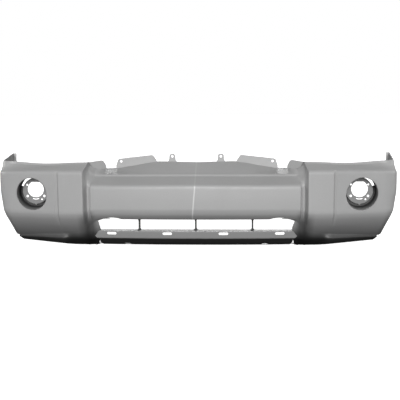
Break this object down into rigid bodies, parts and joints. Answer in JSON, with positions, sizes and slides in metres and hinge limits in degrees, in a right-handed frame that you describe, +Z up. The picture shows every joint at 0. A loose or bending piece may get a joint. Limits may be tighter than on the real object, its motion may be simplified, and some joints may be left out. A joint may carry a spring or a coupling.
{
  "type": "bumper cover",
  "caption": "Moulded front bumper cover with raised centre band, intake insert, slotted lower valance, fog lamp pockets with brackets, side rails and push-type retainers.",
  "frame": {"origin": "middle of the line between the two centre tab holes, at the front face of the tabs", "axes": "+X towards the vehicle's left and along the cover's length, +Y towards the rear of the vehicle, +Z up"},
  "size_m": [1.8428, 0.4556, 0.4056],
  "materials": {
    "primed_plastic": "matte grey primer",
    "black_plastic": "moulded black, fine grain",
    "zinc_steel": "zinc plated"
  },
  "bodies": {
    "cover": {"bumper_cover": "primed_plastic", "lower_valance": "primed_plastic", "intake_grille": "black_plastic", "fog_bracket_left": "primed_plastic", "fog_bracket_right": "primed_plastic", "fog_bracket_screws_left": "zinc_steel", "fog_bracket_screws_right": "zinc_steel", "side_rail_left": "black_plastic", "side_rail_right": "black_plastic", "side_rail_screws_left": "zinc_steel", "side_rail_screws_right": "zinc_steel", "arch_clip_nuts_left": "zinc_steel", "arch_clip_nuts_right": "zinc_steel", "grille_screws_upper": "zinc_steel", "grille_screws_lower": "zinc_steel", "valance_retainer_1": "black_plastic", "valance_retainer_2": "black_plastic", "valance_retainer_3": "black_plastic", "valance_retainer_4": "black_plastic"},
    "pin_1": {"valance_retainer_pin_1": "black_plastic"},
    "pin_2": {"valance_retainer_pin_2": "black_plastic"},
    "pin_3": {"valance_retainer_pin_3": "black_plastic"},
    "pin_4": {"valance_retainer_pin_4": "black_plastic"}
  },
  "joints": [
    {"name": "retainer_pin_1_slide", "type": "slide", "parent": "cover", "child": "pin_1", "axis": [0, 0, -1], "range_m": [0, 0.008]},
    {"name": "retainer_pin_2_slide", "type": "slide", "parent": "cover", "child": "pin_2", "axis": [0, 0, -1], "range_m": [0, 0.008]},
    {"name": "retainer_pin_3_slide", "type": "slide", "parent": "cover", "child": "pin_3", "axis": [0, 0, -1], "range_m": [0, 0.008]},
    {"name": "retainer_pin_4_slide", "type": "slide", "parent": "cover", "child": "pin_4", "axis": [0, 0, -1], "range_m": [0, 0.008]}
  ]
}
